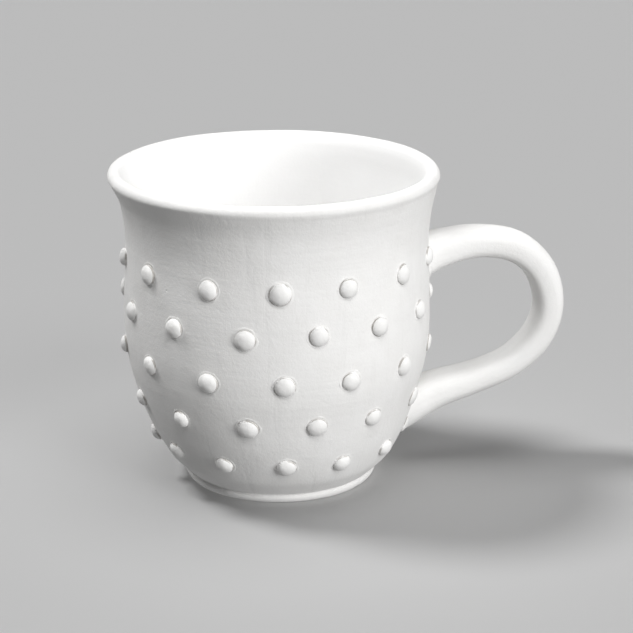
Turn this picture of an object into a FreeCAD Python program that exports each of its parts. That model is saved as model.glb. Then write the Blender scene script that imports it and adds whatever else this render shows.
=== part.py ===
"""Stoneware mug: a thrown body on a low foot ring, a pulled strap handle set in
slip, and five staggered rows of raised clay dots. Millimetres, +Z up, the mug
turned about Z, the centre of the foot at the origin, the handle towards +X."""
import FreeCAD
import Part
import math
import os

# Body. The outside outline runs from the notch over the foot ring to the lip.
HEIGHT = 97.5
LIP_RADIUS = 50.0
LIP_ROUND = 2.2
FOOT_RADIUS = 29.6
FOOT_INNER_RADIUS = 25.0
FOOT_HEIGHT = 2.6
FOOT_RECESS = 1.8
FLOOR_TOP = 8.5
OUTSIDE = (  # height, radius
    (FOOT_HEIGHT, 29.4),
    (9.8, 35.9),
    (20.0, 40.8),
    (34.0, 45.0),
    (50.0, 46.9),
    (73.0, 46.2),
    (88.0, 47.5),
)
INSIDE = (  # height, radius
    (14.0, 32.5),
    (22.0, 36.6),
    (36.0, 40.7),
    (52.0, 42.5),
    (74.0, 42.0),
    (88.0, 43.4),
)

# Handle. Each station along the centre line has its distance from the mug's
# axis, its height, the width across the strap and the thickness in its plane.
HANDLE_STATIONS = (
    (42.0, 66.5, 17.0, 13.2),
    (50.5, 69.5, 14.8, 11.2),
    (62.5, 71.3, 13.6, 9.7),
    (74.8, 68.9, 13.2, 9.8),
    (83.2, 61.1, 13.0, 9.6),
    (86.4, 49.6, 13.0, 9.0),
    (83.0, 38.9, 13.0, 8.7),
    (74.0, 30.5, 13.2, 8.7),
    (62.0, 25.9, 13.6, 9.2),
    (50.0, 22.6, 14.8, 10.8),
    (38.0, 17.2, 16.8, 13.4),
    (31.0, 14.5, 17.0, 13.4),
)
SLIP_THICKNESS = 0.5
SLIP_BEAD = 0.9

# Dots. Each one has its angle round the mug from the handle and its height.
DOT_RADIUS = 3.35
DOT_RAISE = 1.9
DOT_SINK = 0.35
DOT_ROWS = (
    (
        (-151.5, 71.9), (-123, 71.5), (-97, 71.4), (-72, 71.7), (-46, 71.8), (-20.5, 71.8),
        (32, 71.8), (58, 71.8), (84, 71.8), (109, 71.8), (134, 71.8), (158, 71.8), (182.5, 71.8),
    ),
    (
        (-164, 58.1), (-137.5, 58.2), (-109.5, 57.7), (-83.5, 58.5), (-59, 58.5), (-34, 58.5),
        (-1, 56.2), (28, 58.3), (51, 58.3), (74, 58.3), (97, 58.3), (120, 58.3), (143, 58.3), (166, 58.1),
    ),
    (
        (-151.5, 43.8), (-123.5, 43.5), (-95.5, 43.7), (-71, 43.5), (-45, 43.3), (-16, 43.2),
        (6, 43.8), (32, 43.8), (58, 43.8), (84, 43.8), (109, 43.8), (134, 43.8), (157, 43.8), (181, 43.8),
    ),
    (
        (-167, 29.3), (-138.5, 29.1), (-109.5, 29.6), (-83, 29.7), (-58, 29.2), (-27.5, 28.6),
        (27.5, 29.0), (55, 29.0), (83, 29.0), (110, 29.0), (137, 29.0), (164, 29.0),
    ),
    (
        (-150, 15.3), (-122.5, 15.0), (-94.5, 15.5), (-69, 14.9), (-42, 14.7), (-20, 15.6),
        (21, 15.2), (47, 15.2), (74, 15.2), (102, 15.2), (129, 15.2), (156, 15.2), (184, 15.2),
    ),
)

UP = FreeCAD.Vector(0, 0, 1)
CENTRE = FreeCAD.Vector(0, 0, 0)


def at(radius, height):
    return FreeCAD.Vector(radius, 0, height)


def smooth_line(points):
    """A smooth curve through points in the X-Z plane."""
    curve = Part.BSplineCurve()
    curve.interpolate(points)
    return curve


def outside_curve(offset=0.0):
    """The turned outside from the foot notch to the start of the lip."""
    points = [at(radius + offset, height) for height, radius in OUTSIDE]
    start_of_lip = at(LIP_RADIUS - 0.35 + offset, HEIGHT - LIP_ROUND - 1.3)
    return smooth_line(points + [start_of_lip])


def turned(edges):
    """The solid that a closed outline makes turned about the upright axis."""
    solid = Part.Face(Part.Wire(edges)).revolve(CENTRE, UP, 360)
    if solid.Volume < 0:
        solid.reverse()
    return solid


def wall_form(offset):
    """The mug's outside as a full form, swollen by offset, for fitting pieces.
    Its turning seam is put on the side away from the handle."""
    curve = outside_curve(offset)
    low = curve.value(curve.FirstParameter)
    high = curve.value(curve.LastParameter)
    form = turned([
        Part.makeLine(at(0, low.z), low),
        curve.toShape(),
        Part.makeLine(high, at(0, high.z)),
        Part.makeLine(at(0, high.z), at(0, low.z)),
    ])
    form.rotate(CENTRE, UP, 180)
    return form


def make_body():
    outside = outside_curve()
    notch = outside.value(outside.FirstParameter)
    lip_outer = outside.value(outside.LastParameter)
    inside = smooth_line([at(radius, height) for height, radius in INSIDE])
    well = inside.value(inside.FirstParameter)
    lip_inner_low = inside.value(inside.LastParameter)
    lip_inner = at(LIP_RADIUS - 2 * LIP_ROUND + 0.15, HEIGHT - LIP_ROUND)
    lip_side = at(LIP_RADIUS, HEIGHT - LIP_ROUND)
    lip_top = at(LIP_RADIUS - LIP_ROUND, HEIGHT)
    floor_edge = at(22.0, FLOOR_TOP)
    foot_bend = at(FOOT_RADIUS + 0.35, FOOT_HEIGHT * 0.55)
    foot_top = at(FOOT_RADIUS + 0.1, FOOT_HEIGHT - 0.3)
    foot_side = at(FOOT_RADIUS, 0.6)
    foot_outer = at(FOOT_RADIUS - 0.6, 0)
    foot_inner = at(FOOT_INNER_RADIUS, 0)
    recess_edge = at(FOOT_INNER_RADIUS - 0.8, FOOT_RECESS)
    flare = smooth_line([lip_inner_low, at(44.4, HEIGHT - 5.2), lip_inner])
    return turned([
        Part.makeLine(foot_inner, foot_outer),
        Part.Arc(foot_outer, at(FOOT_RADIUS - 0.15, 0.18), foot_side).toShape(),
        Part.Arc(foot_side, foot_bend, foot_top).toShape(),
        Part.makeLine(foot_top, notch),
        outside.toShape(),
        Part.makeLine(lip_outer, lip_side),
        Part.Arc(lip_side, lip_top, lip_inner).toShape(),
        flare.toShape(),
        inside.toShape(),
        Part.Arc(well, at(28.5, 10.1), floor_edge).toShape(),
        Part.makeLine(floor_edge, at(0, FLOOR_TOP)),
        Part.makeLine(at(0, FLOOR_TOP), at(0, FOOT_RECESS)),
        Part.makeLine(at(0, FOOT_RECESS), recess_edge),
        Part.makeLine(recess_edge, foot_inner),
    ])


def strap_section(place, along, width, thickness):
    """One rounded section of the strap, flatter on the side towards the mug."""
    across = FreeCAD.Vector(0, 1, 0)
    outward = along.cross(across).normalize()
    points = []
    for step in range(16):
        turn = math.radians(22.5 * step)
        side, face = math.cos(turn), math.sin(turn)
        squareness = 0.74 if face < 0 else 0.92
        reach = abs(face) ** squareness * math.copysign(1, face)
        spread = abs(side) ** squareness * math.copysign(1, side)
        points.append(place + across * (spread * width / 2) + outward * (reach * thickness / 2))
    outline = Part.BSplineCurve()
    outline.interpolate(points, PeriodicFlag=True)
    return Part.Wire(outline.toShape())


def make_strap(grow=0.0):
    """The whole pulled strap, both ends run into the wall, swollen by grow."""
    line = smooth_line([at(distance, height) for distance, height, _, _ in HANDLE_STATIONS])
    sections = []
    for distance, height, width, thickness in HANDLE_STATIONS:
        place = at(distance, height)
        along = FreeCAD.Vector(*line.tangent(line.parameter(place))[0])
        sections.append(strap_section(place, along, width + 2 * grow, thickness + 2 * grow))
    return Part.makeLoft(sections, True)


def make_dot(height):
    """One dot at angle 0: a flattened pellet pressed on square to the wall."""
    curve = outside_curve()
    level = Part.makeLine(at(0, height), at(LIP_RADIUS + 10, height))
    crossing = level.Curve.intersect(curve)[0]
    seat = at(crossing.X, height)
    along_wall = FreeCAD.Vector(*curve.tangent(curve.parameter(seat))[0])
    lean = math.degrees(math.atan2(-along_wall.x, along_wall.z))
    flatten = FreeCAD.Matrix()
    flatten.scale(DOT_RADIUS, DOT_RADIUS, DOT_RAISE + DOT_SINK)
    pellet = Part.makeSphere(1.0).transformGeometry(flatten)
    pellet.translate(at(0, -DOT_SINK))
    pellet.rotate(CENTRE, FreeCAD.Vector(0, 1, 0), 90 + lean)
    pellet.translate(seat)
    return pellet.cut(wall_form(0.0))


def make_dot_row(places):
    row = []
    for angle, height in places:
        dot = make_dot(height).Solids[0]
        dot.rotate(CENTRE, UP, angle)
        row.append(dot)
    return Part.makeCompound(row)


os.makedirs("parts", exist_ok=True)

make_body().exportStep("parts/mug_body.step")

wall = wall_form(0.0)
wall_and_slip = wall_form(SLIP_THICKNESS)
make_strap().cut(wall_and_slip).Solids[0].exportStep("parts/handle.step")

seams = make_strap(SLIP_BEAD).common(wall_and_slip).cut(wall)
upper, lower = sorted(seams.Solids, key=lambda seam: -seam.CenterOfMass.z)
upper.exportStep("parts/upper_slip_seam.step")
lower.exportStep("parts/lower_slip_seam.step")

for number, places in enumerate(DOT_ROWS, start=1):
    make_dot_row(places).exportStep(f"parts/dot_row_{number}.step")
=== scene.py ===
import math
import random

import bmesh
import bpy
from mathutils import Matrix, Vector, noise
from mathutils.bvhtree import BVHTree


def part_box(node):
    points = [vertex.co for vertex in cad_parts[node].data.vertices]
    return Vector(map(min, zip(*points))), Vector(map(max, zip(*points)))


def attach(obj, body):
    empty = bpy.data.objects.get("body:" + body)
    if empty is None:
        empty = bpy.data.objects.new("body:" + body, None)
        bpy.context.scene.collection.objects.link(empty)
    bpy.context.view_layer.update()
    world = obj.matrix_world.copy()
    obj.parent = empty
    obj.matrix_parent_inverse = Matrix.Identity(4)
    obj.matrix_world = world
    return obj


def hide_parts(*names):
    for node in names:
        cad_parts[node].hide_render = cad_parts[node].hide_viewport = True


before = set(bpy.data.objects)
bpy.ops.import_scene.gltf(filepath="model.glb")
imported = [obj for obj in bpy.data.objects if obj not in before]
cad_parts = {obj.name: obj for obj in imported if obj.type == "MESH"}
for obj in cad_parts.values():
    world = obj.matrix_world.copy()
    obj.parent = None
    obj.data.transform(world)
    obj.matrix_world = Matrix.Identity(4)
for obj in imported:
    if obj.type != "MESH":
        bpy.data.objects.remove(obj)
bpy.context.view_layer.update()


# ---------------------------------------------------------------- thrown body
# The cup: one lump of white stoneware thrown on the wheel, wall, lip and floor
# together, then turned over and trimmed to leave a low foot ring. It was dried,
# wiped with a damp sponge and fired once, and has no glaze on it.

MM = 0.001
body_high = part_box("mug_body")[1]
LIP_RADIUS = body_high.x
LIP_HEIGHT = body_high.z
LIP_ROUND = 2.2 * MM
LIP_TURN = range(-10, 150, 13)  # degrees round the lip, from outside to inside
THROWING_STEPS = 192
FOOT = [  # radius, height, in millimetres, from the middle of the underside
    (0.0, 1.8), (6.0, 1.8), (12.0, 1.8), (18.0, 1.8), (22.0, 1.8), (23.8, 1.7),
    (24.6, 1.2), (25.0, 0.4), (25.5, 0.0), (27.2, 0.0), (28.6, 0.0), (29.2, 0.15),
    (29.6, 0.55), (29.9, 1.2), (30.0, 1.8), (29.85, 2.2), (29.55, 2.45),
]
OUTSIDE = [  # height, radius, in millimetres, from the notch over the foot to the lip
    (2.7, 29.5), (5.4, 32.3), (9.8, 35.9), (20.0, 40.75), (34.0, 45.0), (42.0, 46.4),
    (50.0, 46.95), (62.0, 46.75), (73.0, 46.2), (81.0, 46.4), (88.0, 47.45), (94.0, 49.45),
]
INSIDE = [  # height, radius, in millimetres, from the lip to the middle of the floor
    (95.9, 45.55), (93.6, 44.75), (88.0, 43.5), (74.0, 42.0), (52.0, 42.5), (36.0, 40.7),
    (22.0, 36.6), (14.0, 31.8), (10.1, 26.5), (8.7, 20.0), (8.3, 10.0), (8.3, 0.0),
]
OUTSIDE_SPAN_STEPS = 7
INSIDE_SPAN_STEPS = 6
MERGE_WITHIN = 0.01 * MM


def smooth_through(points, span_steps):
    """Points on an even curve that passes through every given point."""
    points = [Vector(point) for point in points]
    ends = [2 * points[0] - points[1]] + points + [2 * points[-1] - points[-2]]
    line = []
    for a, b, c, d in zip(ends, ends[1:], ends[2:], ends[3:]):
        for step in range(span_steps):
            t = step / span_steps
            line.append(0.5 * ((2 * b) + (c - a) * t + (2 * a - 5 * b + 4 * c - d) * t * t
                               + (3 * b - a - 3 * c + d) * t * t * t))
    return line + [points[-1]]


def on_outline(radius, height):
    return Vector((radius, 0, height))


def outline_through(heights_and_radii, span_steps):
    """A smooth outline, in metres, through heights and radii in millimetres."""
    line = smooth_through([(height, radius, 0) for height, radius in heights_and_radii], span_steps)
    return [on_outline(point.y * MM, point.x * MM) for point in line]


def let_go():
    """Leaves edit mode with nothing chosen."""
    if bpy.context.object and bpy.context.object.mode != "OBJECT":
        bpy.ops.object.mode_set(mode="OBJECT")
    bpy.ops.object.select_all(action="DESELECT")


def drawn_outline(name, points):
    """A new mesh in edit mode: one point extruded along the given points."""
    let_go()
    bpy.ops.mesh.primitive_plane_add(size=MM, location=(0, 0, 0))
    bpy.context.object.name = name
    bpy.ops.object.mode_set(mode="EDIT")
    bpy.ops.mesh.select_all(action="SELECT")
    bpy.ops.mesh.merge(type="CENTER")
    bpy.ops.transform.translate(value=points[0])
    for here, there in zip(points, points[1:]):
        bpy.ops.mesh.extrude_region_move(TRANSFORM_OT_translate={"value": there - here})
    return bpy.context.object


def throw_round(steps):
    """Turns the outline being edited into a closed round form about upright."""
    bpy.ops.mesh.select_all(action="SELECT")
    bpy.ops.mesh.spin(steps=steps, angle=2 * math.pi, center=(0, 0, 0), axis=(0, 0, 1))
    bpy.ops.mesh.select_all(action="SELECT")
    bpy.ops.mesh.remove_doubles(threshold=MERGE_WITHIN)
    bpy.ops.mesh.normals_make_consistent(inside=False)


foot_line = [on_outline(radius * MM, height * MM) for radius, height in FOOT]
outside_line = outline_through(OUTSIDE, OUTSIDE_SPAN_STEPS)
inside_line = outline_through(INSIDE, INSIDE_SPAN_STEPS)
lip_middle = on_outline(LIP_RADIUS - LIP_ROUND, LIP_HEIGHT - LIP_ROUND)
lip_line = []
for turn in LIP_TURN:
    turn = math.radians(turn)
    lip_line.append(lip_middle + LIP_ROUND * on_outline(math.cos(turn), math.sin(turn)))
body = drawn_outline("thrown_body", foot_line + outside_line + lip_line + inside_line)
throw_round(THROWING_STEPS)

# The lip and the foot each sit a little off the middle of the belly.
SIDEWAYS = Vector((0.987, -0.16, 0))
OFF_CENTRE = [  # lowest and highest of the band, how far it moves, how far that spreads
    (94.8, 99.0, -0.75, 7.0),
    (-1.0, 9.0, 0.65, 22.0),
]


def choose_between(low, high):
    """Chooses the points of the mesh being edited whose height is in a band."""
    edit = bmesh.from_edit_mesh(bpy.context.object.data)
    for vertex in edit.verts:
        vertex.select_set(low <= vertex.co.z <= high)
    edit.select_flush_mode()
    bmesh.update_edit_mesh(bpy.context.object.data)


for low, high, shift, spread in OFF_CENTRE:
    choose_between(low * MM, high * MM)
    bpy.ops.transform.translate(value=SIDEWAYS * shift * MM, use_proportional_edit=True,
                                proportional_edit_falloff="SMOOTH", proportional_size=spread * MM)
bpy.ops.object.mode_set(mode="OBJECT")

# The hand's unsteadiness on the wheel, after which the foot is rubbed flat.
WOBBLE_LENGTH = 26 * MM
BODY_WOBBLE = 0.55 * MM
RUBBED_FLAT = 0.12 * MM
hand_wobble = bpy.data.textures.new("hand_wobble", "CLOUDS")
hand_wobble.noise_scale = WOBBLE_LENGTH
hand_wobble.noise_depth = 2


def unsteady(piece, strength):
    """Gives a piece the slight unevenness of work done by hand."""
    wobble = piece.modifiers.new("wobble", "DISPLACE")
    wobble.texture = hand_wobble
    wobble.strength = strength
    wobble.mid_level = 0.5
    bpy.ops.object.modifier_apply(modifier=wobble.name)


unsteady(body, BODY_WOBBLE)
bpy.ops.object.mode_set(mode="EDIT")
choose_between(-MM, RUBBED_FLAT)
bpy.ops.transform.resize(value=(1, 1, 0), center_override=(0, 0, 0))
bpy.ops.object.mode_set(mode="OBJECT")
bpy.ops.object.shade_smooth()

# The inside was wiped smoother than the outside, and it is painted paler: painted light, standing in for
# the light that fills the cup. This says how far each point lies in from the outside, up to the wall's
# thickness.
WALL_THICKNESS = 4.0 * MM
FLOOR_STARTS = 5.0 * MM


def outside_radius(height):
    """The wall's outside radius at a height, before the hand's unevenness."""
    for low, high in zip(outside_line, outside_line[1:]):
        if low.z <= height <= high.z:
            return low.x + (height - low.z) / (high.z - low.z) * (high.x - low.x)
    return LIP_RADIUS if height > outside_line[-1].z else 0.0


inner_side = body.data.attributes.new("inner_side", "FLOAT", "POINT")
for vertex, kept in zip(body.data.vertices, inner_side.data):
    depth = outside_radius(vertex.co.z) - math.hypot(vertex.co.x, vertex.co.y)
    above_foot = vertex.co.z > FLOOR_STARTS
    kept.value = min(max(depth / WALL_THICKNESS, 0.0), 1.0) if above_foot else 0.0

# The fired clay: a fine sandy grain, broad cloudy tones, marks left by the wheel and the sponge, and a
# few pits and specks. The pits are darkened as painted shade.
PALE_CLAY = (0.90, 0.896, 0.886)
WARM_CLAY = (0.845, 0.836, 0.818)
GREY_CLAY = (0.74, 0.735, 0.725)
# PIT_SHADE is painted shade, laid into the pits and into the creases round the dots.
PIT_SHADE = (0.36, 0.34, 0.31)
PAINTED_INSIDE_LIGHT = (0.975, 0.973, 0.968)
DULL_SPECULAR = 0.22
CLAY_IOR = 1.45


def new_group(name, inputs, outputs):
    """A shader group with number inputs and their usual values, and its ends."""
    group = bpy.data.node_groups.new(name, "ShaderNodeTree")
    for label, usual in inputs.items():
        socket = group.interface.new_socket(label, in_out="INPUT", socket_type="NodeSocketFloat")
        socket.default_value = usual
    for label in outputs:
        group.interface.new_socket(label, in_out="OUTPUT", socket_type="NodeSocketFloat")
    given = group.nodes.new("NodeGroupInput").outputs
    result = group.nodes.new("NodeGroupOutput").inputs
    return group, given, result


def put(tree, kind, values=None, **choices):
    """Adds a node: choices are its own settings, values fill or link its sockets."""
    node = tree.nodes.new(kind)
    for choice, value in choices.items():
        setattr(node, choice, value)
    for socket, value in (values or {}).items():
        if isinstance(value, bpy.types.NodeSocket):
            tree.links.new(value, node.inputs[socket])
        else:
            node.inputs[socket].default_value = value
    return node


def maths(tree, operation, first, second):
    return put(tree, "ShaderNodeMath", {0: first, 1: second}, operation=operation).outputs[0]


def times(tree, first, second):
    return maths(tree, "MULTIPLY", first, second)


def plus(tree, first, second):
    return maths(tree, "ADD", first, second)


def between(tree, value, low, high):
    """0 at low, 1 at high, with soft ends."""
    return put(tree, "ShaderNodeMapRange", {"Value": value, "From Min": low, "From Max": high},
               interpolation_type="SMOOTHSTEP").outputs["Result"]


def repeats_every(tree, millimetres):
    """The scale of a pattern that repeats every so many millimetres."""
    return maths(tree, "DIVIDE", 1 / MM, millimetres)


def laid_over(tree, under, over, mask, amount):
    """One colour laid over another where the mask is, as strongly as amount says."""
    mix = put(tree, "ShaderNodeMix", {"Factor": times(tree, mask, amount)}, data_type="RGBA")
    colours = [socket for socket in mix.inputs if socket.type == "RGBA"]
    for socket, colour in zip(colours, (under, over)):
        if isinstance(colour, bpy.types.NodeSocket):
            tree.links.new(colour, socket)
        else:
            socket.default_value = (*colour, 1)
    return [socket for socket in mix.outputs if socket.type == "RGBA"][0]


# Sandy grain: Height in millimetres, Tone from 0 to 1 in soft clouds.
SAND_TO_GRAIN = 420.0
grain_group, given, result = new_group("clay_grain", {"Grain": 0.45, "Depth": 0.02, "Cloud": 9.0},
                                       ("Height", "Tone"))
place = put(grain_group, "ShaderNodeTexCoord").outputs["Object"]
fine = put(grain_group, "ShaderNodeTexNoise",
           {"Vector": place, "Scale": repeats_every(grain_group, given["Grain"]),
            "Detail": 3.0, "Roughness": 0.62}).outputs[0]
sand_scale = maths(grain_group, "DIVIDE", SAND_TO_GRAIN, given["Grain"])
sand = put(grain_group, "ShaderNodeTexVoronoi",
           {"Vector": place, "Scale": sand_scale}).outputs["Distance"]
relief = plus(grain_group, fine, times(grain_group, sand, -0.5))
grain_group.links.new(times(grain_group, relief, given["Depth"]), result["Height"])
cloud = put(grain_group, "ShaderNodeTexNoise",
            {"Vector": place, "Scale": repeats_every(grain_group, given["Cloud"]),
             "Detail": 5.0, "Roughness": 0.6, "Distortion": 0.4}).outputs[0]
speckled = plus(grain_group, times(grain_group, cloud, 0.7), times(grain_group, fine, 0.3))
grain_group.links.new(between(grain_group, speckled, 0.33, 0.67), result["Tone"])

# Marks drawn round or down the wall: Round and Up are how many there are to
# one turn and to ten millimetres.
PER_TEN_MM = 100.0
marks_group, given, result = new_group("wall_marks", {"Round": 1.0, "Up": 5.0, "Low": 0.4, "High": 0.75},
                                       ("Mark",))
place = put(marks_group, "ShaderNodeTexCoord").outputs["Object"]
split = put(marks_group, "ShaderNodeSeparateXYZ", {"Vector": place}).outputs
flat = put(marks_group, "ShaderNodeCombineXYZ", {"X": split["X"], "Y": split["Y"]}).outputs[0]
facing = put(marks_group, "ShaderNodeVectorMath", {0: flat}, operation="NORMALIZE").outputs[0]
turn = put(marks_group, "ShaderNodeSeparateXYZ", {"Vector": facing}).outputs
up = times(marks_group, split["Z"], PER_TEN_MM)
spot = put(marks_group, "ShaderNodeCombineXYZ",
           {"X": times(marks_group, turn["X"], given["Round"]),
            "Y": times(marks_group, turn["Y"], given["Round"]),
            "Z": times(marks_group, up, given["Up"])}).outputs[0]
strokes = put(marks_group, "ShaderNodeTexNoise", {"Vector": spot, "Scale": 1.0, "Detail": 4.0,
                                                  "Roughness": 0.55, "Distortion": 0.35}).outputs[0]
marks_group.links.new(between(marks_group, strokes, given["Low"], given["High"]), result["Mark"])

# Pits and specks: one cell in a few holds one, Spacing apart and Width across.
RAGGED_SCALE = 900.0
RAGGED_BY = 0.6 * MM
pits_group, given, result = new_group("pits_and_specks", {"Spacing": 5.0, "Width": 0.5, "Share": 0.1},
                                      ("Pit", "Speck"))
place = put(pits_group, "ShaderNodeTexCoord").outputs["Object"]
ragged = put(pits_group, "ShaderNodeTexNoise",
             {"Vector": place, "Scale": RAGGED_SCALE, "Detail": 2.0}).outputs["Color"]
ragged = put(pits_group, "ShaderNodeVectorMath", {0: ragged, 3: RAGGED_BY}, operation="SCALE").outputs[0]
place = put(pits_group, "ShaderNodeVectorMath", {0: place, 1: ragged}, operation="ADD").outputs[0]
cells = put(pits_group, "ShaderNodeTexVoronoi",
            {"Vector": place, "Scale": repeats_every(pits_group, given["Spacing"])}).outputs
lot = put(pits_group, "ShaderNodeSeparateColor", {"Color": cells["Color"]}).outputs
reach = times(pits_group, cells["Distance"], given["Spacing"])
near = between(pits_group, reach, given["Width"], 0.0)
for label, draw in (("Pit", "Red"), ("Speck", "Green")):
    drawn = maths(pits_group, "LESS_THAN", lot[draw], given["Share"])
    pits_group.links.new(times(pits_group, near, drawn), result[label])


def bare_clay(name):
    """A new material, its node tree and its shader, dull as unglazed clay."""
    material = bpy.data.materials.new(name)
    material.use_nodes = True
    tree = material.node_tree
    shader = tree.nodes["Principled BSDF"]
    shader.inputs["Specular IOR Level"].default_value = DULL_SPECULAR
    shader.inputs["IOR"].default_value = CLAY_IOR
    return material, tree, shader


def placed_group(tree, group, **values):
    """A group set into a material with its own values; gives its outputs."""
    node = tree.nodes.new("ShaderNodeGroup")
    node.node_tree = group
    for label, value in values.items():
        node.inputs[label].default_value = value
    return node.outputs


def fire(tree, shader, colour, roughness, height_in_mm):
    """Joins the colour, the roughness and the relief to the shader."""
    tree.links.new(colour, shader.inputs["Base Color"])
    tree.links.new(roughness, shader.inputs["Roughness"])
    bump = put(tree, "ShaderNodeBump", {"Height": height_in_mm, "Strength": 1.0, "Distance": MM})
    tree.links.new(bump.outputs["Normal"], shader.inputs["Normal"])


thrown_clay, tree, shader = bare_clay("thrown_bisque")
grain = placed_group(tree, grain_group, Grain=0.5, Depth=0.06, Cloud=11.0)
rings = placed_group(tree, marks_group, Round=1.1, Up=4.2, Low=0.35, High=0.7)
wipes = placed_group(tree, marks_group, Round=9.0, Up=0.35, Low=0.5, High=0.78)
sponge = placed_group(tree, marks_group, Round=6.0, Up=1.6, Low=0.4, High=0.8)
pits = placed_group(tree, pits_group, Spacing=6.0, Width=0.55, Share=0.06)
inner = put(tree, "ShaderNodeAttribute", attribute_name="inner_side").outputs["Fac"]
inner = between(tree, inner, 0.45, 1.0)
colour = laid_over(tree, PALE_CLAY, WARM_CLAY, grain["Tone"], 0.5)
colour = laid_over(tree, colour, GREY_CLAY, wipes["Mark"], 0.22)
colour = laid_over(tree, colour, GREY_CLAY, sponge["Mark"], 0.12)
# painted shade: the pits darkened as if shadowed inside
colour = laid_over(tree, colour, PIT_SHADE, pits["Pit"], 0.75)
colour = laid_over(tree, colour, WARM_CLAY, pits["Speck"], 0.25)
# painted light: the inside made paler than the outside clay
colour = laid_over(tree, colour, PAINTED_INSIDE_LIGHT, inner, 0.85)
roughness = plus(tree, 0.8, times(tree, grain["Tone"], 0.15))
marks = times(tree, rings["Mark"], 0.022)
marks = plus(tree, marks, times(tree, sponge["Mark"], 0.05))
marks = plus(tree, marks, times(tree, wipes["Mark"], -0.05))
height = plus(tree, grain["Height"], marks)
smoother_inside = maths(tree, "SUBTRACT", 1.0, times(tree, inner, 0.6))
height = times(tree, height, smoother_inside)
height = plus(tree, height, times(tree, pits["Pit"], -0.3))
fire(tree, shader, colour, roughness, height)
body.data.materials.append(thrown_clay)
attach(body, "root")
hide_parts("mug_body")


# --------------------------------------------------------------- strap handle
# A strap pulled from wet clay with a wet hand, rounded outside and flatter
# towards the cup, bent into an ear and spread a little where each end meets
# the wall, which was scored first so that the two would hold.

HANDLE_STATIONS = [  # distance from the cup's axis, height, width, thickness, in millimetres
    (42.0, 66.5, 17.0, 13.2), (50.5, 69.5, 14.8, 11.2), (62.5, 71.3, 13.6, 9.7),
    (74.8, 68.9, 13.2, 9.8), (83.2, 61.1, 13.0, 9.6), (86.4, 49.6, 13.0, 9.0),
    (83.0, 38.9, 13.0, 8.7), (74.0, 30.5, 13.2, 8.7), (62.0, 25.9, 13.6, 9.2),
    (50.0, 22.6, 14.8, 10.8), (38.0, 17.2, 16.8, 13.4), (31.0, 14.5, 17.0, 13.4),
]
STRAP_SPAN_STEPS = 5
STRAP_SIDES = 40
SQUARE_OUTER, SQUARE_INNER = 0.88, 0.63  # 1 is an oval, less is squarer
STRAP_WOBBLE = 0.4 * MM
END_SET_IN = 1.0 * MM
SLIVER = 0.005 * MM
SOFT_EDGE = math.radians(50)

places = smooth_through([(x, 0, z) for x, z, width, thickness in HANDLE_STATIONS], STRAP_SPAN_STEPS)
sizes = smooth_through([(width, thickness, 0) for x, z, width, thickness in HANDLE_STATIONS],
                       STRAP_SPAN_STEPS)
stations = [(place * MM, size.x * MM, size.y * MM) for place, size in zip(places, sizes)]


def set_strap_ring(strap, place, along, width, thickness):
    """Adds one ring of the strap, square across the way the strap runs."""
    bpy.ops.mesh.select_all(action="DESELECT")
    bpy.ops.mesh.primitive_circle_add(vertices=STRAP_SIDES, radius=1)
    turn = Matrix.Translation(place) @ Matrix.Rotation(math.atan2(along.x, along.z), 4, "Y")
    edit = bmesh.from_edit_mesh(strap.data)
    for vertex in edit.verts:
        if vertex.select:
            square = SQUARE_INNER if vertex.co.x > 0 else SQUARE_OUTER
            inward = math.copysign(abs(vertex.co.x) ** square, vertex.co.x)
            across = math.copysign(abs(vertex.co.y) ** square, vertex.co.y)
            vertex.co = turn @ Vector((inward * thickness / 2, across * width / 2, 0))
    bmesh.update_edit_mesh(strap.data)


let_go()
bpy.ops.mesh.primitive_circle_add(vertices=STRAP_SIDES, radius=1)
handle = bpy.context.object
handle.name = "pulled_handle"
bpy.ops.object.mode_set(mode="EDIT")
bpy.ops.mesh.delete(type="VERT")
stations_before = [stations[0]] + stations
stations_after = stations[1:] + [stations[-1]]
for before, (place, width, thickness), after in zip(stations_before, stations, stations_after):
    set_strap_ring(handle, place, after[0] - before[0], width, thickness)
bpy.ops.mesh.select_all(action="SELECT")
bpy.ops.mesh.bridge_edge_loops()
bpy.ops.mesh.select_all(action="SELECT")
bpy.ops.mesh.fill_holes(sides=0)
bpy.ops.mesh.select_all(action="SELECT")
bpy.ops.mesh.normals_make_consistent(inside=False)
bpy.ops.object.mode_set(mode="OBJECT")
unsteady(handle, STRAP_WOBBLE)
strap_sides = [
    [handle.data.vertices[ring * STRAP_SIDES + side].co.copy() for ring in range(len(stations))]
    for side in range(STRAP_SIDES)
]

# The ends are trimmed to the round of the wall and set a little into it.
set_in_line = [point - on_outline(END_SET_IN, 0) for point in outside_line]
wall_form = drawn_outline("wall_form", [on_outline(0, set_in_line[0].z)] + set_in_line
                          + [on_outline(0, set_in_line[-1].z)])
throw_round(THROWING_STEPS)
let_go()
bpy.context.view_layer.objects.active = handle
handle.select_set(True)
trim = handle.modifiers.new("trim", "BOOLEAN")
trim.operation = "DIFFERENCE"
trim.object = wall_form
bpy.ops.object.modifier_apply(modifier=trim.name)
bpy.data.objects.remove(wall_form)
bpy.ops.object.mode_set(mode="EDIT")
bpy.ops.mesh.select_all(action="SELECT")
bpy.ops.mesh.dissolve_degenerate(threshold=SLIVER)
bpy.ops.object.mode_set(mode="OBJECT")
bpy.ops.object.shade_smooth_by_angle(angle=SOFT_EDGE)

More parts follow.
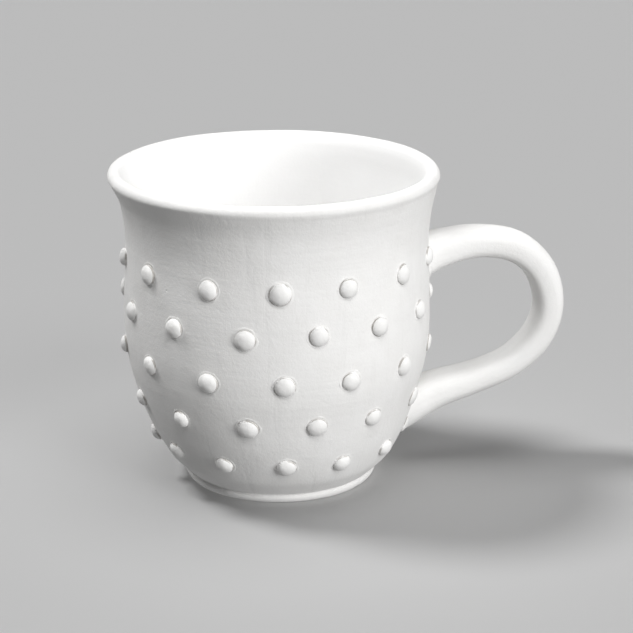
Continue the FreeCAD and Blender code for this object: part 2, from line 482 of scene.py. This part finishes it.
# How far each point lies along the strap, across it and out from its middle
# line: the hand's long strokes follow this.
middle_line = [place for place, width, thickness in stations]
run = [0.0]
for here, there in zip(middle_line, middle_line[1:]):
    run.append(run[-1] + (there - here).length)
strap_place = handle.data.attributes.new("strap_place", "FLOAT_VECTOR", "POINT")
for vertex, kept in zip(handle.data.vertices, strap_place.data):
    level = Vector((vertex.co.x, 0, vertex.co.z))
    nearest = min(range(len(middle_line) - 1), key=lambda n: (middle_line[n] - level).length)
    way = (middle_line[nearest + 1] - middle_line[nearest]).normalized()
    off = level - middle_line[nearest]
    kept.vector = (run[nearest] + off.dot(way), vertex.co.y, off.dot(way.cross(Vector((0, 1, 0)))))

STROKES_PER_METRE = (45.0, 520.0, 520.0)  # along the strap, across it, out from it

pulled_clay, tree, shader = bare_clay("pulled_bisque")
grain = placed_group(tree, grain_group, Grain=0.5, Depth=0.075, Cloud=14.0)
pits = placed_group(tree, pits_group, Spacing=7.0, Width=0.45, Share=0.05)
strap_spot = put(tree, "ShaderNodeAttribute", attribute_name="strap_place").outputs["Vector"]
long_spot = put(tree, "ShaderNodeVectorMath", {0: strap_spot, 1: STROKES_PER_METRE},
                operation="MULTIPLY").outputs[0]
strokes = put(tree, "ShaderNodeTexNoise", {"Vector": long_spot, "Scale": 1.0, "Detail": 3.0,
                                           "Roughness": 0.5, "Distortion": 0.2}).outputs[0]
strokes = between(tree, strokes, 0.38, 0.72)
colour = laid_over(tree, PALE_CLAY, WARM_CLAY, grain["Tone"], 0.4)
colour = laid_over(tree, colour, GREY_CLAY, strokes, 0.12)
# painted shade: the pits darkened as if shadowed inside
colour = laid_over(tree, colour, PIT_SHADE, pits["Pit"], 0.6)
roughness = plus(tree, 0.76, times(tree, strokes, 0.14))
height = plus(tree, grain["Height"], times(tree, strokes, 0.03))
height = plus(tree, height, times(tree, pits["Pit"], -0.2))
fire(tree, shader, colour, roughness, height)
handle.data.materials.append(pulled_clay)
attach(handle, "root")
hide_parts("handle")


# ----------------------------------------------------------------- slip seams
# Runny clay brushed on before the strap was pushed home. What squeezed out
# stands as an uneven bead round both ends of the strap, where it meets the wall.

BEAD_RADIUS = 0.62 * MM
BEAD_UNEVEN = 0.35
BEAD_LUMPS_PER_METRE = 260
CLEAR_OF_CUP = 80 * MM
wall_surface = BVHTree.FromPolygons([vertex.co.copy() for vertex in body.data.vertices],
                                    [tuple(face.vertices) for face in body.data.polygons])


def wall_gap(point):
    """How far a point stands outside the wall, less than nothing within it."""
    outward = Vector((point.x, point.y, 0)).normalized()
    start = outward * CLEAR_OF_CUP + Vector((0, 0, point.z))
    on_wall = wall_surface.ray_cast(start, -outward)[0]
    return math.hypot(point.x, point.y) - math.hypot(on_wall.x, on_wall.y)


def where_it_leaves_wall(line):
    """The point at which one side of the strap, going out, leaves the wall."""
    for inner, outer in zip(line, line[1:]):
        gap_in, gap_out = wall_gap(inner), wall_gap(outer)
        if gap_in <= 0 < gap_out:
            return inner.lerp(outer, -gap_in / (gap_out - gap_in))
    raise ValueError("one side of the strap never leaves the wall")


joining_slip, tree, shader = bare_clay("dried_slip")
grain = placed_group(tree, grain_group, Grain=0.35, Depth=0.04, Cloud=3.0)
pits = placed_group(tree, pits_group, Spacing=1.6, Width=0.3, Share=0.2)
colour = laid_over(tree, PALE_CLAY, WARM_CLAY, grain["Tone"], 0.55)
# painted shade: the pits darkened as if shadowed inside
colour = laid_over(tree, colour, PIT_SHADE, pits["Pit"], 0.6)
roughness = plus(tree, 0.72, times(tree, grain["Tone"], 0.16))
height = plus(tree, grain["Height"], times(tree, pits["Pit"], -0.2))
fire(tree, shader, colour, roughness, height)

BEADS = [  # the bead, the solid it stands for, whether it is at the strap's last end
    ("upper_bead", "upper_slip_seam", False),
    ("lower_bead", "lower_slip_seam", True),
]
for name, node, last_end in BEADS:
    path = bpy.data.curves.new(name, "CURVE")
    path.dimensions = "3D"
    path.bevel_depth = BEAD_RADIUS
    path.bevel_resolution = 4
    path.resolution_u = 5
    spline = path.splines.new("NURBS")
    spline.points.add(STRAP_SIDES - 1)
    for line, point in zip(strap_sides, spline.points):
        meeting = where_it_leaves_wall(line[::-1] if last_end else line)
        point.co = (*meeting, 1)
        point.radius = 1 + BEAD_UNEVEN * noise.noise(meeting * BEAD_LUMPS_PER_METRE)
    spline.use_cyclic_u = True
    let_go()
    bead = bpy.data.objects.new(name, path)
    bpy.context.collection.objects.link(bead)
    bead.select_set(True)
    bpy.context.view_layer.objects.active = bead
    bpy.ops.object.convert(target="MESH")
    bead = bpy.context.object
    bpy.ops.object.mode_set(mode="EDIT")
    bpy.ops.mesh.select_all(action="SELECT")
    bpy.ops.mesh.normals_make_consistent(inside=False)
    bpy.ops.object.mode_set(mode="OBJECT")
    bpy.ops.object.shade_smooth()
    bead.data.materials.append(joining_slip)
    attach(bead, "root")
    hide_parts(node)


# ---------------------------------------------------------------- raised dots
# Pellets of the same clay, rolled between finger and thumb and pressed on to
# the damp wall in five staggered rows. Each has a thin collar of slip wiped
# round its foot, and no two are quite the same.

# Each dot's angle round the cup from the handle in degrees, its height in
# millimetres, its size against the usual one, and its rise where that is low.
DOT_ROWS = [
    [
        (-151.5, 71.9, 1.0), (-123, 71.5, 1.0), (-97, 71.4, 1.09), (-72, 71.7, 0.98),
        (-46, 71.8, 0.98), (-20.5, 71.8, 0.95, 0.9), (32, 71.8, 1.0), (58, 71.8, 1.02),
        (84, 71.8, 0.98), (109, 71.8, 1.0), (134, 71.8, 1.04), (158, 71.8, 1.0),
        (182.5, 71.8, 0.95),
    ],
    [
        (-164, 58.1, 1.0), (-137.5, 58.2, 1.0), (-109.5, 57.7, 1.05), (-83.5, 58.5, 1.0),
        (-59, 58.5, 1.0), (-34, 58.5, 0.96), (-1, 56.2, 0.97), (28, 58.3, 1.0),
        (51, 58.3, 1.0), (74, 58.3, 1.03), (97, 58.3, 1.0), (120, 58.3, 0.98),
        (143, 58.3, 1.0), (166, 58.1, 1.0),
    ],
    [
        (-151.5, 43.8, 0.98, 0.9), (-123.5, 43.5, 1.03), (-95.5, 43.7, 1.05), (-71, 43.5, 0.99),
        (-45, 43.3, 0.98), (-16, 43.2, 0.95, 0.55), (6, 43.8, 1.0), (32, 43.8, 0.98),
        (58, 43.8, 1.0), (84, 43.8, 1.02), (109, 43.8, 1.0), (134, 43.8, 1.0),
        (157, 43.8, 0.97), (181, 43.8, 0.92),
    ],
    [
        (-167, 29.3, 0.92), (-138.5, 29.1, 0.9), (-109.5, 29.6, 1.05), (-83, 29.7, 1.05),
        (-58, 29.2, 0.96), (-27, 28.4, 1.05, 0.7), (27.5, 29.0, 0.98), (55, 29.0, 1.0),
        (83, 29.0, 1.0), (110, 29.0, 1.03), (137, 29.0, 1.0), (164, 29.0, 0.96),
    ],
    [
        (-150, 15.3, 0.92), (-122.5, 15.0, 0.95), (-94.5, 15.5, 1.02), (-69, 14.9, 0.96),
        (-42, 14.7, 0.94), (-17, 16.2, 0.9, 0.6), (21, 15.2, 0.96), (47, 15.2, 1.0),
        (74, 15.2, 1.0), (102, 15.2, 0.98), (129, 15.2, 1.0), (156, 15.2, 0.97),
        (184, 15.2, 0.93),
    ],
]
DOT_OUTLINE = [  # distance from the middle, height over the wall, in millimetres
    (0.0, 1.88), (0.75, 1.83), (1.4, 1.69), (1.95, 1.45), (2.4, 1.14), (2.72, 0.8),  # dome
    (2.88, 0.5), (2.9, 0.28), (2.85, 0.08), (2.87, -0.05), (2.98, -0.03),  # side and crease
    (3.08, 0.03), (3.3, 0.055), (3.6, 0.035), (4.0, -0.12), (0.0, -0.12),  # collar and back
]
DOT_STEPS = 32
COLLAR_FROM = 2.95 * MM
ABOVE_DOT = 6 * MM
MOST_STRETCH = 0.035
MOST_OUT_OF_ROUND = 0.035
RISE_SPREAD = (0.93, 1.05)
MOST_LEAN = 0.12
LUMP_HEIGHT = 0.08 * MM
COLLAR_UNEVEN = 0.9
SEED_SPREAD = 50
ROUND_WAVES = 1.6
DOT_LUMPS_PER_METRE = 600
COLLAR_LUMPS_PER_METRE = 330

blank_dot = drawn_outline("blank_dot", [on_outline(r * MM, h * MM) for r, h in DOT_OUTLINE])
throw_round(DOT_STEPS)
bpy.ops.object.mode_set(mode="OBJECT")
from_middle = blank_dot.data.attributes.new("from_middle", "FLOAT", "POINT")
for vertex, kept in zip(blank_dot.data.vertices, from_middle.data):
    kept.value = math.hypot(vertex.co.x, vertex.co.y) / MM
chance = random.Random(11)


def press_on(dot, angle, height, size, rise):
    """Presses a dot's mesh on to the wall and leaves it a little out of true."""
    outward = Vector((math.cos(angle), math.sin(angle), 0))
    start = outward * CLEAR_OF_CUP + Vector((0, 0, height))
    middle, normal, _, _ = wall_surface.ray_cast(start, -outward)
    across = Vector((0, 0, 1)).cross(normal).normalized()
    upward = normal.cross(across)
    long_way = chance.uniform(0, math.pi)
    stretch = chance.uniform(0.0, MOST_STRETCH)
    proud = rise * chance.uniform(*RISE_SPREAD)
    lean = Vector((chance.uniform(-MOST_LEAN, MOST_LEAN), chance.uniform(-MOST_LEAN, MOST_LEAN), 0))
    seed = Vector((chance.uniform(0, SEED_SPREAD), chance.uniform(0, SEED_SPREAD), 0))
    for vertex in dot.data.vertices:
        bearing = math.atan2(vertex.co.y, vertex.co.x)
        spread = size * (1 + stretch * math.cos(2 * (bearing - long_way)))
        spread *= 1 + MOST_OUT_OF_ROUND * noise.noise(vertex.co.normalized() * ROUND_WAVES + seed)
        flat = Vector((vertex.co.x, vertex.co.y, 0)) * spread + lean * max(vertex.co.z, 0)
        lump = noise.noise(vertex.co * DOT_LUMPS_PER_METRE + seed)
        stand = vertex.co.z * proud + LUMP_HEIGHT * lump
        if math.hypot(vertex.co.x, vertex.co.y) > COLLAR_FROM:
            stand *= 1 + COLLAR_UNEVEN * noise.noise(vertex.co * COLLAR_LUMPS_PER_METRE + seed)
        foot = middle + across * flat.x + upward * flat.y
        on_wall = wall_surface.ray_cast(foot + normal * ABOVE_DOT, -normal)[0]
        vertex.co = on_wall + normal * stand


# The crease round each dot's foot is darkened in patches: painted shade, standing in for the shadow that
# falls in the crease.
rolled_clay, tree, shader = bare_clay("rolled_bisque")
grain = placed_group(tree, grain_group, Grain=0.45, Depth=0.06, Cloud=3.5)
pits = placed_group(tree, pits_group, Spacing=4.0, Width=0.35, Share=0.05)
reach = put(tree, "ShaderNodeAttribute", attribute_name="from_middle").outputs["Fac"]
painted_crease_shade = times(tree, between(tree, reach, 2.78, 2.86), between(tree, reach, 3.2, 3.02))
dot_spot = put(tree, "ShaderNodeTexCoord").outputs["Object"]
patchy = put(tree, "ShaderNodeTexNoise",
             {"Vector": dot_spot, "Scale": 240.0, "Detail": 1.0}).outputs[0]
painted_crease_shade = times(tree, painted_crease_shade, between(tree, patchy, 0.42, 0.6))
colour = laid_over(tree, PALE_CLAY, WARM_CLAY, grain["Tone"], 0.45)
# painted shade: the crease round the dot's foot darkened with PIT_SHADE
colour = laid_over(tree, colour, PIT_SHADE, painted_crease_shade, 0.75)
# painted shade: the pits darkened as if shadowed inside
colour = laid_over(tree, colour, PIT_SHADE, pits["Pit"], 0.5)
roughness = plus(tree, 0.76, times(tree, grain["Tone"], 0.16))
height = plus(tree, grain["Height"], times(tree, pits["Pit"], -0.15))
fire(tree, shader, colour, roughness, height)

for number, row in enumerate(DOT_ROWS, start=1):
    pressed = []
    for angle, height, size, *rise in row:
        dot = blank_dot.copy()
        dot.data = blank_dot.data.copy()
        bpy.context.collection.objects.link(dot)
        press_on(dot, math.radians(angle), height * MM, size, rise[0] if rise else 1.0)
        pressed.append(dot)
    let_go()
    for dot in pressed:
        dot.select_set(True)
    bpy.context.view_layer.objects.active = pressed[0]
    bpy.ops.object.join()
    bpy.ops.object.shade_smooth()
    dots = bpy.context.object
    dots.name = f"raised_dots_{number}"
    dots.data.materials.append(rolled_clay)
    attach(dots, "root")
    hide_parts(f"dot_row_{number}")
bpy.data.objects.remove(blank_dot)


# ------------------------------------------------------------- floor and light
# A plain pale studio floor, the soft light of the room, and lamps far enough
# off to act as broad soft windows.

FLOOR_SIZE = 12
FLOOR_BEHIND = 3
FLOOR_PALENESS = 0.8

let_go()
bpy.ops.mesh.primitive_plane_add(size=FLOOR_SIZE, location=(0, FLOOR_BEHIND, 0))
floor = bpy.context.object
floor.name = "floor"
pale_floor, tree, shader = bare_clay("pale_floor")
shader.inputs["Base Color"].default_value = (FLOOR_PALENESS, FLOOR_PALENESS, FLOOR_PALENESS, 1)
shader.inputs["Roughness"].default_value = 1.0
shader.inputs["Specular IOR Level"].default_value = 0.0
floor.data.materials.append(pale_floor)

# The walls of the room look pale to the camera but give no light of their own;
# what light comes up from below stands for the glow of the floor.
GLOW_FROM_BELOW = 0.29
ROOM_GREY = 0.55
floor.visible_diffuse = False
room = bpy.data.worlds.new("soft_room")
room.use_nodes = True
tree = room.node_tree
way = put(tree, "ShaderNodeTexCoord").outputs["Generated"]
upward = put(tree, "ShaderNodeSeparateXYZ", {"Vector": way}).outputs["Z"]
glow = times(tree, maths(tree, "LESS_THAN", upward, 0.0), GLOW_FROM_BELOW)
seen = put(tree, "ShaderNodeLightPath").outputs["Is Camera Ray"]
strength = put(tree, "ShaderNodeMix", {"Factor": seen, "A": glow, "B": ROOM_GREY}).outputs[0]
tree.links.new(strength, tree.nodes["Background"].inputs["Strength"])
tree.nodes["Background"].inputs["Color"].default_value = (1, 1, 1, 1)
bpy.context.scene.world = room

# Some lamps light only the cup, and some only the floor and so set its shadow.
on_cup = bpy.data.collections.new("lit_with_the_cup")
for piece in [thing for thing in bpy.data.objects if thing.type == "MESH" and thing is not floor]:
    on_cup.objects.link(piece)
on_floor = bpy.data.collections.new("lit_with_the_floor")
on_floor.objects.link(floor)


def seen_from(bearing, height):
    """The way out from the cup at a bearing and a height, both in degrees."""
    bearing, height = math.radians(bearing), math.radians(height)
    return Vector((math.cos(bearing) * math.cos(height), math.sin(bearing) * math.cos(height),
                   math.sin(height)))


def window_light(name, bearing, height, strength, softness, lights_only):
    """A far soft light; bearing is where it stands, in degrees from the handle."""
    light = bpy.data.lights.new(name, "SUN")
    light.energy = strength
    light.angle = math.radians(softness)
    lamp = bpy.data.objects.new(name, light)
    bpy.context.collection.objects.link(lamp)
    lamp.rotation_euler = seen_from(bearing, height).to_track_quat("Z", "Y").to_euler()
    lamp.light_linking.receiver_collection = lights_only


window_light("back_left_window", 144, 60, 1.14, 22, on_cup)
window_light("left_window", 156, 45, 1.28, 22, on_cup)
window_light("front_window", 270, 55, 1.08, 24, on_cup)
window_light("right_window", 300, 38, 0.97, 24, on_cup)
window_light("low_right_window", 313, 10, 1.5, 24, on_cup)
window_light("light_into_the_cup", 0, 89, 0.22, 44, on_cup)
window_light("shadow_window", 154, 58, 1.16, 14, on_floor)
window_light("right_of_the_floor", 300, 40, 0.26, 24, on_floor)
window_light("ceiling", 0, 89, 0.82, 46, on_floor)


# --------------------------------------------------------------------- camera
# On a stand a little over half a metre off, looking down on the cup with its
# handle to the right.

CAMERA_BEARING = -98.0
CAMERA_DISTANCE = 554.4 * MM
CAMERA_HEIGHT = 234.0 * MM
LOOK_DOWN = 18.4
LOOK_ASIDE = 1.25
LENS = 107.6
SENSOR = 36
FARTHEST_SEEN = 50

camera_data = bpy.data.cameras.new("camera")
camera_data.lens = LENS
camera_data.sensor_width = SENSOR
camera_data.clip_end = FARTHEST_SEEN
camera = bpy.data.objects.new("camera", camera_data)
bpy.context.collection.objects.link(camera)
camera.location = CAMERA_DISTANCE * seen_from(CAMERA_BEARING, 0) + Vector((0, 0, CAMERA_HEIGHT))
camera.rotation_euler = (math.radians(90 - LOOK_DOWN), 0, math.radians(CAMERA_BEARING + 90 - LOOK_ASIDE))
bpy.context.scene.camera = camera
bpy.context.scene.view_settings.view_transform = "Standard"
